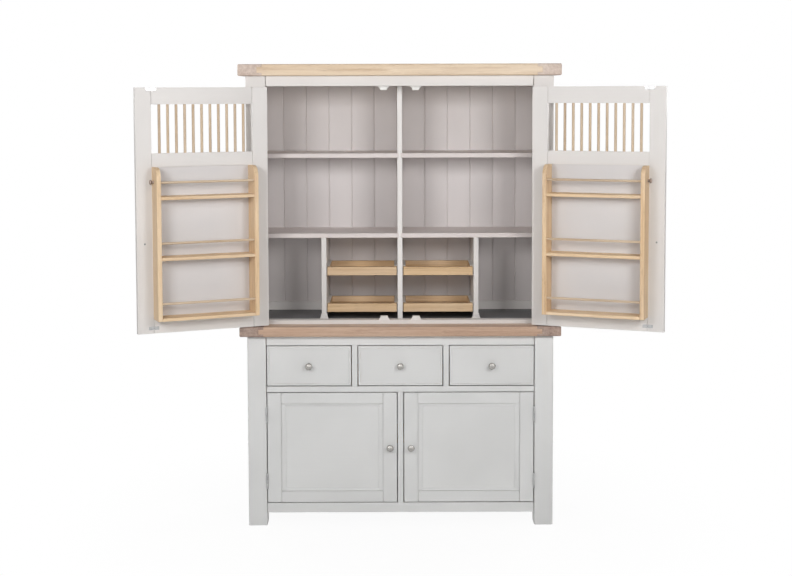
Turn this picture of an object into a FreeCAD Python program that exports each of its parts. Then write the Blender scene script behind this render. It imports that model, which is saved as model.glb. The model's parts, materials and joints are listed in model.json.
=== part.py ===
import FreeCAD, Part
import math
import os

# Welsh dresser: a cupboard base with drawers, and a hutch on top whose doors carry spice racks.
# Millimetres. X runs to the right, Y to the back and Z up. The origin is on the floor,
# at the centre of the base's footprint. The hutch doors stand open at rest.

# Overall sizes
CARCASE_WIDTH = 1220
BASE_DEPTH = 415
WORKTOP_HEIGHT = 808
HUTCH_HEIGHT = 1040
HUTCH_SETBACK = 25

# Worktop and top board, each a panel with a breadboard cap tongued on at both ends
WORKTOP_THICKNESS = 39
TOP_THICKNESS = 46
BOARD_OVERHANG = 28
CAP_WIDTH = 95
CAP_TONGUE = 20
CAP_TONGUE_SHARE = 0.5
BOARD_EDGE_EASE = 3

# Base frame
LEG_WIDTH = 74
LEG_CHAMFER = 2.5
FLOOR_CLEARANCE = 52
RAIL_THICKNESS = 22
RAIL_RECESS = 3
SIDE_RECESS = 8
TOP_RAIL = 39
MID_RAIL = 22.5
BOTTOM_RAIL = 39
DRAWER_OPENING = 166
DRAWER_STILE = 22
DOOR_MULLION = 22
LEG_TENON = 18
STILE_TENON = 8
TENON_SHOULDER_SHARE = 0.2
PANEL_THICKNESS = 9
PANEL_TONGUE = 8

# Shadow lines across the front rails and the frieze, at their shoulders
QUIRK_WIDTH = 3
QUIRK_DEPTH = 8

# Base inside
FLOOR_BOARD = 18
CUPBOARD_SHELF = 18
CUPBOARD_SHELF_SHARE = 0.5
CLEAT_WIDTH = 20
CLEAT_HEIGHT = 25
RUNNER_WIDTH = 60
GUIDE_HEIGHT = 20

# Drawers
DRAWER_NAMES = ("left", "middle", "right")
DRAWER_GAP = 3.5
DRAWER_FRONT = 22
DRAWER_DEPTH = 330
DRAWER_SIDE = 12
DRAWER_SIDE_HEIGHT = 125
DRAWER_BOTTOM = 6
DRAWER_BOTTOM_RISE = 10
DRAWER_GROOVE = 6
BEAD_WIDTH = 7
BEAD_QUIRK = 2
BEAD_RADIUS = 2.5

# Doors
DOOR_THICKNESS = 21
DOOR_GAP = 3.5
HUTCH_MEETING_GAP = 3
DOOR_TENON = 30
CUPBOARD_STILE = 55
CUPBOARD_RAIL = 44
HUTCH_STILE = 62
HUTCH_DOOR_TOP_RAIL = 65
HUTCH_DOOR_MID_RAIL = 52
HUTCH_DOOR_BOTTOM_RAIL = 55
GRILLE_HEIGHT = 187
MOULDING_WIDTH = 11
MOULDING_STILE_WIDTH = 20
MOULDING_LIP_SHARE = 0.2
MOULDING_STEP = 1.5
MOULDING_EDGE = 1.5
LEFT_DOOR_OPEN_DEG = 156.7
RIGHT_DOOR_OPEN_DEG = 158.4

# Grille spindles, and the sides of every dowel's outline
SPINDLE_COUNT = 11
SPINDLE_DIAMETER = 11.5
SPINDLE_SEAT = 10
DOWEL_CLEARANCE = 0.15
DOWEL_SIDE_COUNT = 8

# Spice racks on the inside of the hutch doors
RACK_DEPTH = 80
RACK_UPRIGHT = 17
RACK_CORNER_RADIUS = 42
RACK_SHELF = 12
RACK_SHELF_SHARES = (0, 0.395, 0.791)
RACK_BAR_DIAMETER = 10
RACK_BAR_RISE = 66
RACK_BAR_SETBACK = 11
RACK_BAR_SEAT = 8

# Knobs, and the small pegs on the racks' outer sides
# The turned profile from foot to crown: radius as a share of the widest, height as a share of the whole
KNOB_DIAMETER = 30
KNOB_PROJECTION = 27
KNOB_SIDE_COUNT = 14
KNOB_PROFILE_SHARES = (
    (0.64, 0), (0.64, 0.10), (0.37, 0.30), (0.78, 0.50), (1, 0.65), (0.92, 0.83), (0.58, 0.96), (0.20, 1),
)
HUTCH_KNOB_RISE = 347
PEG_DIAMETER = 21
PEG_PROJECTION = 17
PEG_DEPTH = 26

# Butt hinges
CUPBOARD_HINGE_COUNT = 2
HUTCH_HINGE_COUNT = 3
HINGE_LENGTH = 63
HINGE_INSET = 87
HINGE_STANDOFF = 3.9
HINGE_BARREL = 7.5
HINGE_PIN = 3
HINGE_LEAF_DEPTH = 16
HINGE_CLEARANCE = 0.3
HINGE_SIDE_COUNT = 8

# Hutch frame
POST_WIDTH = 78
POST_DEPTH = 45
HUTCH_SIDE = 24
FRIEZE_HEIGHT = 41
STRETCHER_DEPTH = 40
STRETCHER_THICKNESS = 22
FLOOR_RAIL_HEIGHT = 16
FLOOR_RAIL_DEPTH = 43
DOOR_STOP_GAP = 2
FLOOR_PANEL = 6
BACK_BOARD = 10
HALF_BACK_BOARD_COUNT = 6
BACK_V = 3
BACK_TONGUE = 5
BACK_TONGUE_THICKNESS = 3
BACK_RAIL_HEIGHT = 36
BACK_RAIL_THICKNESS = 12

# Hutch inside
SHELF_SETBACK = 109
HUTCH_SHELF = 18
HOUSING_DEPTH = 6
LOWER_SHELF_RISE = 357
UPPER_SHELF_RISE = 682
DIVIDER = 20
TRAY_BAY = 289
BRACKET_WIDTH = 40
BRACKET_HEIGHT = 24
BRACKET_DEPTH = 18
BRACKET_TOP_SHARE = 0.62
BRACKET_FLARE_SHARE = 0.25

# Pull-out trays in their runners
TRAY_HEIGHT = 34
TRAY_DEPTH = 228
TRAY_WALL = 11
TRAY_BOTTOM = 5
TRAY_GROOVE = 5
TRAY_SIDE_GAP = 3.5
TRAY_RISE_SHARES = (0.09, 0.54)
RUNNER_WEB = 2.5
RUNNER_LIP = 12.5
RUNNER_SETBACK = 30
RUNNING_GAP = 0.3

# Magnetic catches and the strike plates that meet them
CATCH_WIDTH = 44
CATCH_CASE_SHARE = 0.66
CATCH_HEIGHT = 16
CATCH_DEPTH = 20
CATCH_FLANGE = 2
CATCH_SHOULDER = 9
CATCH_OFFSET = 64
STRIKE_WIDTH = 40
STRIKE_HEIGHT = 13
STRIKE_THICKNESS = 1.2

# One overrun serves every cut that has to pass a face
OVERRUN = 5

# Planes that several pieces share
HALF_WIDTH = CARCASE_WIDTH / 2
FRONT = -BASE_DEPTH / 2
BACK = BASE_DEPTH / 2
FRAME_FRONT = FRONT + RAIL_RECESS
FRAME_BACK = FRAME_FRONT + RAIL_THICKNESS
LEG_INNER = HALF_WIDTH - LEG_WIDTH
BASE_TOP = WORKTOP_HEIGHT - WORKTOP_THICKNESS
DRAWER_TOP_Z = BASE_TOP - TOP_RAIL
DRAWER_FLOOR_Z = DRAWER_TOP_Z - DRAWER_OPENING
CUPBOARD_TOP_Z = DRAWER_FLOOR_Z - MID_RAIL
CUPBOARD_FLOOR_Z = FLOOR_CLEARANCE + BOTTOM_RAIL
SIDE_INNER = HALF_WIDTH - SIDE_RECESS - RAIL_THICKNESS
BACK_FRAME_FRONT = BACK - RAIL_RECESS - RAIL_THICKNESS
BACK_PANEL_FRONT = BACK - RAIL_RECESS - (RAIL_THICKNESS + PANEL_THICKNESS) / 2
RUNNER_RAIL_FRONT = BACK_PANEL_FRONT - RAIL_THICKNESS
DRAWER_PITCH = (2 * LEG_INNER + DRAWER_STILE) / len(DRAWER_NAMES)
DRAWER_SPAN = DRAWER_PITCH - DRAWER_STILE

TOP_Z = WORKTOP_HEIGHT + HUTCH_HEIGHT
HUTCH_TOP_Z = TOP_Z - TOP_THICKNESS
HUTCH_FRONT = FRONT + HUTCH_SETBACK
POST_INNER = HALF_WIDTH - POST_WIDTH
POST_BACK = HUTCH_FRONT + POST_DEPTH
HUTCH_INNER = HALF_WIDTH - HUTCH_SIDE
FRIEZE_Z = HUTCH_TOP_Z - FRIEZE_HEIGHT
DOOR_BACK = HUTCH_FRONT + DOOR_THICKNESS
FLOOR_RAIL_Z = WORKTOP_HEIGHT + FLOOR_RAIL_HEIGHT
HUTCH_FLOOR_Z = WORKTOP_HEIGHT + FLOOR_PANEL
BACK_BOARD_FRONT = BACK - BACK_BOARD
SHELF_FRONT = HUTCH_FRONT + SHELF_SETBACK
LOWER_SHELF_Z = WORKTOP_HEIGHT + LOWER_SHELF_RISE
UPPER_SHELF_Z = WORKTOP_HEIGHT + UPPER_SHELF_RISE
TRAY_DIVIDER_INNER = DIVIDER / 2 + TRAY_BAY

CUPBOARD_DOOR_WIDTH = LEG_INNER - DOOR_MULLION / 2 - 2 * DOOR_GAP
CUPBOARD_DOOR_HEIGHT = CUPBOARD_TOP_Z - CUPBOARD_FLOOR_Z - 2 * DOOR_GAP
HUTCH_DOOR_WIDTH = POST_INNER - DOOR_GAP - HUTCH_MEETING_GAP / 2
HUTCH_DOOR_HEIGHT = FRIEZE_Z - WORKTOP_HEIGHT - 2 * DOOR_GAP
GRILLE_TOP = HUTCH_DOOR_HEIGHT - HUTCH_DOOR_TOP_RAIL
GRILLE_BOTTOM = GRILLE_TOP - GRILLE_HEIGHT
RACK_TOP = GRILLE_BOTTOM - HUTCH_DOOR_MID_RAIL
RACK_HEIGHT = RACK_TOP - HUTCH_DOOR_BOTTOM_RAIL

AXES = ("X", "Y", "Z")
SIDES = (-1, 1)
SIDE_NAMES = ("left", "right")
ORIGIN = FreeCAD.Vector(0, 0, 0)
ALONG_X = FreeCAD.Vector(1, 0, 0)
ALONG_Y = FreeCAD.Vector(0, 1, 0)
ALONG_Z = FreeCAD.Vector(0, 0, 1)


# Each node's name and its solids
NODES = {}


def add(name, shapes):
    NODES.setdefault(name, []).extend(shapes)


def vector(x, y, z):
    return FreeCAD.Vector(x, y, z)


def block(low, high):
    """A box between its lowest and its highest corner."""
    size = [b - a for a, b in zip(low, high)]
    return Part.makeBox(*size, vector(*low))


def block_at(side, low, high):
    """A box drawn on the right-hand side, or its mirror image on the left."""
    if side > 0:
        return block(low, high)
    return block((-high[0], low[1], low[2]), (-low[0], high[1], high[2]))


def tenoned(low, high, axis, length):
    """A rail from shoulder to shoulder along one axis, with a stub tenon on each end."""
    tenon_low, tenon_high = list(low), list(high)
    for index, name in enumerate(AXES):
        shoulder = (high[index] - low[index]) * TENON_SHOULDER_SHARE
        step = -length if name == axis else shoulder
        tenon_low[index] += step
        tenon_high[index] -= step
    return block(low, high).fuse(block(tenon_low, tenon_high)).removeSplitter()


def housed(host, pieces):
    """The host with a socket, groove or housing for each piece that enters it."""
    for piece in pieces:
        host = host.cut(piece)
    return host


def mirrored(shape):
    return shape.mirror(ORIGIN, ALONG_X)


def flat_face(points):
    return Part.Face(Part.makePolygon(points + points[:1]))


def prism(points, direction):
    """A solid drawn from a closed outline of straight sides."""
    return flat_face(points).extrude(direction)


def skinned(outlines):
    """A solid through outlines of equally many corners, with flat faces between them."""
    faces = [flat_face(outlines[0]), flat_face(outlines[-1])]
    for lower, upper in zip(outlines, outlines[1:]):
        for index in range(len(lower)):
            faces.append(flat_face([lower[index - 1], lower[index], upper[index], upper[index - 1]]))
    solid = Part.Solid(Part.Shell(faces))
    return solid if solid.Volume > 0 else Part.Solid(Part.Shell(faces).reversed())


def ring(centre, axis, radius, sides):
    """The corners of a regular outline round an axis."""
    across = ALONG_Z if axis.x else ALONG_X
    up = axis.cross(across)
    corners = []
    for index in range(sides):
        turn = 2 * math.pi * (index + 0.5) / sides
        corners.append(centre + across * (radius * math.cos(turn)) + up * (radius * math.sin(turn)))
    return corners


def rod(start, axis, length, radius, sides):
    """A dowel, pin or bore, with few sides because there are many of them."""
    return prism(ring(start, axis, radius, sides), axis * length)


def edges_between(shape, low, high):
    """The edges that lie wholly inside a box."""
    room = FreeCAD.BoundBox(*low, *high)
    return [edge for edge in shape.Edges if room.isInside(edge.BoundBox)]


# Worktop and top board


def board_bounds(front, top, thickness):
    reach = HALF_WIDTH + BOARD_OVERHANG
    return (-reach, front - BOARD_OVERHANG, top - thickness), (reach, BACK, top)


def eased(shape, low, high):
    """A board with its outer edges eased at the front and the two ends."""
    margin = BOARD_EDGE_EASE / 2
    edges = []
    for z in (low[2], high[2]):
        z_range = (z - margin, z + margin)
        front = (low[0] - margin, low[1] - margin), (high[0] + margin, low[1] + margin)
        left = (low[0] - margin, low[1] - margin), (low[0] + margin, high[1] + margin)
        right = (high[0] - margin, low[1] - margin), (high[0] + margin, high[1] + margin)
        for start, end in (front, left, right):
            room_low = (*start, z_range[0])
            room_high = (*end, z_range[1])
            edges += edges_between(shape, room_low, room_high)
    return shape.makeChamfer(BOARD_EDGE_EASE, edges)


def breadboard(front, top, thickness):
    """A panel with a full-depth tongue at each end, and the two caps grooved over the tongues."""
    low, high = board_bounds(front, top, thickness)
    cheek = high[0] - CAP_WIDTH
    margin = thickness * (1 - CAP_TONGUE_SHARE) / 2
    tongue_low = (-cheek - CAP_TONGUE, low[1], low[2] + margin)
    tongue_high = (cheek + CAP_TONGUE, high[1], high[2] - margin)
    tongue = block(tongue_low, tongue_high)
    panel = eased(block((-cheek, *low[1:]), (cheek, *high[1:])), low, high)
    caps = []
    for side in SIDES:
        cap = block_at(side, (cheek, *low[1:]), high)
        caps.append(housed(eased(cap, low, high), [tongue]))
    return panel.fuse(tongue).removeSplitter(), caps


# Base


def base_rails():
    """Front, back and side rails, tenoned into the legs."""
    front_rows = (
        (FLOOR_CLEARANCE, CUPBOARD_FLOOR_Z),
        (CUPBOARD_TOP_Z, DRAWER_FLOOR_Z),
        (DRAWER_TOP_Z, BASE_TOP),
    )
    outer_rows = front_rows[0], front_rows[2]
    rails = [quirked(cross_rail(FRAME_FRONT, row), FRAME_FRONT, LEG_INNER) for row in front_rows]
    rails += [cross_rail(BACK_FRAME_FRONT, row) for row in outer_rows]
    rails.append(cross_rail(RUNNER_RAIL_FRONT, front_rows[1]))
    for side in SIDES:
        x_range = sorted((side * SIDE_INNER, side * (HALF_WIDTH - SIDE_RECESS)))
        for low_z, high_z in outer_rows:
            low = (x_range[0], FRONT + LEG_WIDTH, low_z)
            high = (x_range[1], BACK - LEG_WIDTH, high_z)
            rails.append(tenoned(low, high, "Y", LEG_TENON))
    return rails


def cross_rail(front, row):
    low = (-LEG_INNER, front, row[0])
    high = (LEG_INNER, front + RAIL_THICKNESS, row[1])
    return tenoned(low, high, "X", LEG_TENON)


def quirked(rail, front, shoulder):
    """A rail with a narrow shadow line cut across its face at both shoulders."""
    bottom, top = rail.BoundBox.ZMin, rail.BoundBox.ZMax
    low = (shoulder - QUIRK_WIDTH, front - OVERRUN, bottom)
    high = (shoulder, front + QUIRK_DEPTH, top)
    return housed(rail, [block_at(side, low, high) for side in SIDES])


def drawer_stile_centres():
    first = -LEG_INNER + DRAWER_PITCH - DRAWER_STILE / 2
    return [first + index * DRAWER_PITCH for index in range(len(DRAWER_NAMES) - 1)]


def base_stiles():
    """The stiles between the drawers and the mullion between the doors, tenoned up and down."""
    columns = [(x, DRAWER_STILE, DRAWER_FLOOR_Z, DRAWER_TOP_Z) for x in drawer_stile_centres()]
    columns.append((0, DOOR_MULLION, CUPBOARD_FLOOR_Z, CUPBOARD_TOP_Z))
    stiles = []
    for centre, width, bottom, top in columns:
        low = (centre - width / 2, FRAME_FRONT, bottom)
        high = (centre + width / 2, FRAME_BACK, top)
        stiles.append(tenoned(low, high, "Z", STILE_TENON))
    return stiles


def base_panels():
    """The two side panels and the back panel, whose edges sit in grooves."""
    low_z = CUPBOARD_FLOOR_Z - PANEL_TONGUE
    high_z = DRAWER_TOP_Z + PANEL_TONGUE
    outer = HALF_WIDTH - SIDE_RECESS - (RAIL_THICKNESS - PANEL_THICKNESS) / 2
    side_low = (outer - PANEL_THICKNESS, FRONT + LEG_WIDTH - PANEL_TONGUE, low_z)
    side_high = (outer, BACK - LEG_WIDTH + PANEL_TONGUE, high_z)
    panels = [block_at(side, side_low, side_high) for side in SIDES]
    reach = LEG_INNER + PANEL_TONGUE
    back_high = (reach, BACK_PANEL_FRONT + PANEL_THICKNESS, high_z)
    panels.append(block((-reach, BACK_PANEL_FRONT, low_z), back_high))
    return panels


def base_leg(side, front):
    """A square leg with its upright edges chamfered."""
    low = (LEG_INNER, front, 0)
    high = (HALF_WIDTH, front + LEG_WIDTH, BASE_TOP)
    leg = block_at(side, low, high)
    upright = [edge for edge in leg.Edges if edge.BoundBox.ZLength > LEG_WIDTH]
    return leg.makeChamfer(LEG_CHAMFER, upright)


def base_floor(legs):
    low = (-SIDE_INNER, FRAME_BACK, CUPBOARD_FLOOR_Z - FLOOR_BOARD)
    high = (SIDE_INNER, BACK_FRAME_FRONT, CUPBOARD_FLOOR_Z)
    return housed(block(low, high), legs)


def cupboard_shelf():
    """The loose shelf behind the cupboard doors, and the two cleats that it lies on."""
    shelf_z = CUPBOARD_FLOOR_Z + (CUPBOARD_TOP_Z - CUPBOARD_FLOOR_Z) * CUPBOARD_SHELF_SHARE
    front = FRONT + LEG_WIDTH
    back = BACK - LEG_WIDTH
    shelf = block((-SIDE_INNER, front, shelf_z), (SIDE_INNER, back, shelf_z + CUPBOARD_SHELF))
    cleat_low = (SIDE_INNER - CLEAT_WIDTH, front, shelf_z - CLEAT_HEIGHT)
    cleat_high = (SIDE_INNER, back, shelf_z)
    return [shelf] + [block_at(side, cleat_low, cleat_high) for side in SIDES]


def drawer_runners():
    """Bearers that the drawers slide on, with a guide standing on each."""
    bearer_z = (CUPBOARD_TOP_Z, DRAWER_FLOOR_Z)
    guide_z = DRAWER_FLOOR_Z + GUIDE_HEIGHT
    ends = (FRAME_BACK, RUNNER_RAIL_FRONT)
    ledge = (RUNNER_WIDTH - DRAWER_STILE) / 2
    runners = []
    for centre in drawer_stile_centres():
        half = RUNNER_WIDTH / 2
        bearer = block((centre - half, ends[0], bearer_z[0]), (centre + half, ends[1], bearer_z[1]))
        half = DRAWER_STILE / 2
        guide = block((centre - half, ends[0], bearer_z[0]), (centre + half, ends[1], guide_z))
        runners.append(bearer.fuse(guide).removeSplitter())
    guide_ends = (FRONT + LEG_WIDTH, BACK - LEG_WIDTH)
    for side in SIDES:
        low = (LEG_INNER - ledge, ends[0], bearer_z[0])
        bearer = block_at(side, low, (LEG_INNER, ends[1], bearer_z[1]))
        low = (LEG_INNER, guide_ends[0], bearer_z[0])
        guide = block_at(side, low, (LEG_INNER + DRAWER_STILE, guide_ends[1], guide_z))
        runners.append(bearer.fuse(guide).removeSplitter())
    return runners


# Knobs


def knob(diameter, projection):
    """A turned knob: a flat rose, a hollow neck and a domed head, standing out towards -Y."""
    outlines = []
    for radius_share, height_share in KNOB_PROFILE_SHARES:
        centre = vector(0, -projection * height_share, 0)
        outlines.append(ring(centre, ALONG_Y, diameter / 2 * radius_share, KNOB_SIDE_COUNT))
    return skinned(outlines)


def door_knob():
    return knob(KNOB_DIAMETER, KNOB_PROJECTION)


# Drawers


def drawer_front(left):
    """A drawer front with a bead run round its edge behind a narrow quirk."""
    low = (left + DRAWER_GAP, FRAME_FRONT, DRAWER_FLOOR_Z + DRAWER_GAP)
    high = (left + DRAWER_SPAN - DRAWER_GAP, FRAME_FRONT + DRAWER_FRONT, DRAWER_TOP_Z - DRAWER_GAP)
    front = block(low, high)
    face_low = (low[0] - OVERRUN, low[1] - OVERRUN, low[2] - OVERRUN)
    face_high = (high[0] + OVERRUN, low[1] + BEAD_RADIUS / 2, high[2] + OVERRUN)
    front = front.makeFillet(BEAD_RADIUS, edges_between(front, face_low, face_high))
    inset = BEAD_WIDTH
    outer = block((low[0] + inset, low[1] - OVERRUN, low[2] + inset),
                  (high[0] - inset, low[1] + BEAD_QUIRK, high[2] - inset))
    inset = BEAD_WIDTH + BEAD_QUIRK
    inner = block((low[0] + inset, low[1] - OVERRUN, low[2] + inset),
                  (high[0] - inset, low[1] + BEAD_QUIRK, high[2] - inset))
    return front.cut(outer.cut(inner))


def drawer_box(left):
    """Two sides, a back and a thin bottom that slides into grooves."""
    low_x = left + DRAWER_GAP
    high_x = left + DRAWER_SPAN - DRAWER_GAP
    front = FRAME_FRONT + DRAWER_FRONT
    back = front + DRAWER_DEPTH
    low_z = DRAWER_FLOOR_Z + RUNNING_GAP
    high_z = low_z + DRAWER_SIDE_HEIGHT
    bottom_z = low_z + DRAWER_BOTTOM_RISE
    bottom_top = bottom_z + DRAWER_BOTTOM
    reach = DRAWER_SIDE - DRAWER_GROOVE
    bottom = block((low_x + reach, front - DRAWER_GROOVE, bottom_z), (high_x - reach, back, bottom_top))
    sides = [
        block((low_x, front, low_z), (low_x + DRAWER_SIDE, back, high_z)),
        block((high_x - DRAWER_SIDE, front, low_z), (high_x, back, high_z)),
    ]
    sides = [housed(side, [bottom]) for side in sides]
    rear_low = (low_x + DRAWER_SIDE, back - DRAWER_SIDE, bottom_top)
    rear = block(rear_low, (high_x - DRAWER_SIDE, back, high_z))
    return sides, rear, bottom


def add_drawers():
    for index, name in enumerate(DRAWER_NAMES):
        left = -LEG_INNER + index * DRAWER_PITCH
        sides, rear, bottom = drawer_box(left)
        front = housed(drawer_front(left), [bottom])
        handle = door_knob()
        middle_z = (DRAWER_FLOOR_Z + DRAWER_TOP_Z) / 2
        handle.translate(vector(left + DRAWER_SPAN / 2, FRAME_FRONT, middle_z))
        add(f"{name}_drawer_front", [front])
        add(f"{name}_drawer_box", sides + [rear, bottom])
        add(f"{name}_drawer_knob", [handle])


# Hinges, drawn about their own pin: the door lies towards +X and the face plane lies towards +Y


def hinge_leaf(direction, reach, knuckles):
    """A flat leaf with its knuckles. Direction is +1 for the door's leaf and -1 for the frame's."""
    half = HINGE_LENGTH / 2
    barrel = HINGE_BARREL / 2
    root = barrel + HINGE_CLEARANCE
    near = HINGE_CLEARANCE / 2
    low = (near, root, -half)
    leaf = block_at(direction, low, (DOOR_GAP / 2, reach + HINGE_LEAF_DEPTH, half))
    for bottom, top in knuckles:
        knuckle = rod(vector(0, 0, bottom), ALONG_Z, top - bottom, barrel, HINGE_SIDE_COUNT)
        strap = block_at(direction, (near, 0, bottom), (DOOR_GAP / 2, root, top))
        leaf = leaf.fuse(knuckle).fuse(strap)
    bore_radius = HINGE_PIN / 2 + HINGE_CLEARANCE
    bore = rod(vector(0, 0, -half), ALONG_Z, HINGE_LENGTH, bore_radius, HINGE_SIDE_COUNT)
    return leaf.removeSplitter().cut(bore)


def hinge_pieces(reach):
    """The door's leaf with the middle knuckle, the frame's leaf with the outer two, and the pin."""
    half = HINGE_LENGTH / 2
    middle = HINGE_LENGTH / 6
    door_knuckles = [(-middle, middle)]
    outer = middle + HINGE_CLEARANCE
    frame_knuckles = [(-half, -outer), (outer, half)]
    pin = Part.makeCylinder(HINGE_PIN / 2, HINGE_LENGTH, vector(0, 0, -half))
    return hinge_leaf(1, reach, door_knuckles), hinge_leaf(-1, reach, frame_knuckles), pin


def place_hinges(pin_point, reach, heights):
    """Hinges along one pin line of the left-hand door."""
    door_leaves, frame_leaves, pins = [], [], []
    for height in heights:
        door_leaf, frame_leaf, pin = hinge_pieces(reach)
        offset = vector(*pin_point, height)
        for piece, group in ((door_leaf, door_leaves), (frame_leaf, frame_leaves), (pin, pins)):
            piece.translate(offset)
            group.append(piece)
    return door_leaves, frame_leaves, pins


CUPBOARD_PIN = (-LEG_INNER + DOOR_GAP / 2, FRONT - HINGE_STANDOFF)
HUTCH_PIN = (-POST_INNER + DOOR_GAP / 2, HUTCH_FRONT - HINGE_STANDOFF)


# Doors, drawn closed on the left-hand side from their own lower hinge corner


def door_stiles(width, height, stile):
    return [
        block((0, 0, 0), (stile, DOOR_THICKNESS, height)),
        block((width - stile, 0, 0), (width, DOOR_THICKNESS, height)),
    ]


def door_rail(width, stile, bottom, top):
    low = (stile, 0, bottom)
    return tenoned(low, (width - stile, DOOR_THICKNESS, top), "X", DOOR_TENON)


def door_panel(width, stile, bottom, top):
    """A flat panel whose edges reach into the frame's grooves."""
    front = (DOOR_THICKNESS - PANEL_THICKNESS) / 2
    low = (stile - PANEL_TONGUE, front, bottom - PANEL_TONGUE)
    high = (width - stile + PANEL_TONGUE, front + PANEL_THICKNESS, top + PANEL_TONGUE)
    return block(low, high)


def moulding(width, stile, bottom, top):
    """Four mitred strips that slope from just below the frame to a thin edge on the panel's face."""
    depth = (DOOR_THICKNESS - PANEL_THICKNESS) / 2
    foot = (MOULDING_STILE_WIDTH, MOULDING_WIDTH)
    lip = [reach * MOULDING_LIP_SHARE for reach in foot]
    profile = ((lip, MOULDING_STEP), (foot, depth - MOULDING_EDGE), (foot, depth))
    corners = ((stile, bottom), (width - stile, bottom), (width - stile, top), (stile, top))
    inward = ((1, 1), (-1, 1), (-1, -1), (1, -1))
    strips = []
    for start in range(len(corners)):
        end = (start + 1) % len(corners)
        outlines = []
        for (reach_x, reach_z), y in profile:
            points = [vector(corners[index][0], y, corners[index][1]) for index in (start, end)]
            for index in (end, start):
                x = corners[index][0] + inward[index][0] * reach_x
                z = corners[index][1] + inward[index][1] * reach_z
                points.append(vector(x, y, z))
            outlines.append(points)
        strips.append(skinned(outlines))
    return strips


def set_door(shapes, side, corner, pin=None, open_deg=0):
    """Moves a door's pieces to its hinge corner, mirrors the right-hand door and swings it open."""
    placed = []
    for shape in shapes:
        piece = shape.copy()
        piece.translate(vector(*corner))
        if side > 0:
            piece = mirrored(piece)
        if pin:
            piece.rotate(vector(-side * pin[0], pin[1], 0), ALONG_Z, side * open_deg)
        placed.append(piece)
    return placed


def hinge_heights(bottom, height, count):
    first = bottom + HINGE_INSET
    step = (height - 2 * HINGE_INSET) / (count - 1)
    return [first + index * step for index in range(count)]


def add_cupboard_doors():
    width, height = CUPBOARD_DOOR_WIDTH, CUPBOARD_DOOR_HEIGHT
    stile, rail = CUPBOARD_STILE, CUPBOARD_RAIL
    panel = door_panel(width, stile, rail, height - rail)
    rails = [door_rail(width, stile, 0, rail), door_rail(width, stile, height - rail, height)]
    stiles = [housed(piece, rails + [panel]) for piece in door_stiles(width, height, stile)]
    rails = [housed(piece, [panel]) for piece in rails]
    strips = moulding(width, stile, rail, height - rail)
    handle = door_knob()
    handle.translate(vector(width - stile / 2, 0, height / 2))
    corner = (-LEG_INNER + DOOR_GAP, FRAME_FRONT, CUPBOARD_FLOOR_Z + DOOR_GAP)
    heights = hinge_heights(corner[2], height, CUPBOARD_HINGE_COUNT)
    reach = FRAME_FRONT - CUPBOARD_PIN[1]
    door_leaves, frame_leaves, pins = place_hinges(CUPBOARD_PIN, reach, heights)
    for side, name in zip(SIDES, SIDE_NAMES):
        add(f"{name}_cupboard_door_frame", set_door(stiles + rails, side, corner))
        add(f"{name}_cupboard_door_panel", set_door([panel] + strips, side, corner))
        add(f"{name}_cupboard_door_knob", set_door([handle], side, corner))
        add(f"{name}_cupboard_door_hinge_leaves", set_door(door_leaves, side, ORIGIN))
        add("frame_hinge_leaves", set_door(frame_leaves, side, ORIGIN))
        add("hinge_pins", set_door(pins, side, ORIGIN))


# Hutch doors with their grilles and spice racks


def spindles(width):
    """Upright dowels evenly spaced across the grille, seated in the rails above and below."""
    pitch = (width - 2 * HUTCH_STILE) / (SPINDLE_COUNT + 1)
    length = GRILLE_HEIGHT + 2 * SPINDLE_SEAT
    rods, holes = [], []
    for index in range(SPINDLE_COUNT):
        x = HUTCH_STILE + (index + 1) * pitch
        foot = vector(x, DOOR_THICKNESS / 2, GRILLE_BOTTOM - SPINDLE_SEAT)
        for group, clearance in ((rods, 0), (holes, DOWEL_CLEARANCE)):
            group.append(rod(foot, ALONG_Z, length, SPINDLE_DIAMETER / 2 + clearance, DOWEL_SIDE_COUNT))
    return rods, holes


def rack_bars(width):
    """The dowel in front of each rack shelf, and the holes for its ends."""
    back = (DOOR_THICKNESS + PANEL_THICKNESS) / 2
    y = back + RACK_DEPTH - RACK_BAR_SETBACK
    low_x = HUTCH_STILE + RACK_UPRIGHT - RACK_BAR_SEAT
    length = width - 2 * low_x
    bars, holes = [], []
    for share in RACK_SHELF_SHARES:
        z = HUTCH_DOOR_BOTTOM_RAIL + RACK_HEIGHT * share + RACK_BAR_RISE
        end = vector(low_x, y, z)
        for group, clearance in ((bars, 0), (holes, DOWEL_CLEARANCE)):
            group.append(rod(end, ALONG_X, length, RACK_BAR_DIAMETER / 2 + clearance, DOWEL_SIDE_COUNT))
    return bars, holes


def rack_upright(x):
    """A rack side whose top front corner is rounded off."""
    back = (DOOR_THICKNESS + PANEL_THICKNESS) / 2
    front = back + RACK_DEPTH
    bottom, top = HUTCH_DOOR_BOTTOM_RAIL, RACK_TOP
    radius = RACK_CORNER_RADIUS
    corner_share = 1 - math.sqrt(0.5)
    start = vector(x, front, top - radius)
    middle = vector(x, front - radius * corner_share, top - radius * corner_share)
    end = vector(x, front - radius, top)
    points = [end, vector(x, back, top), vector(x, back, bottom), vector(x, front, bottom), start]
    edges = [Part.makeLine(a, b) for a, b in zip(points, points[1:])]
    edges.append(Part.Arc(start, middle, end).toShape())
    return Part.Face(Part.Wire(edges)).extrude(vector(RACK_UPRIGHT, 0, 0))


def spice_rack(width, holes):
    """Two uprights and three shelves that fill the panel's recess."""
    back = (DOOR_THICKNESS + PANEL_THICKNESS) / 2
    low_x = HUTCH_STILE + RACK_UPRIGHT
    uprights = [rack_upright(HUTCH_STILE), rack_upright(width - low_x)]
    pieces = [housed(upright, holes) for upright in uprights]
    for share in RACK_SHELF_SHARES:
        z = HUTCH_DOOR_BOTTOM_RAIL + RACK_HEIGHT * share
        pieces.append(block((low_x, back, z), (width - low_x, back + RACK_DEPTH, z + RACK_SHELF)))
    return pieces


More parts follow.
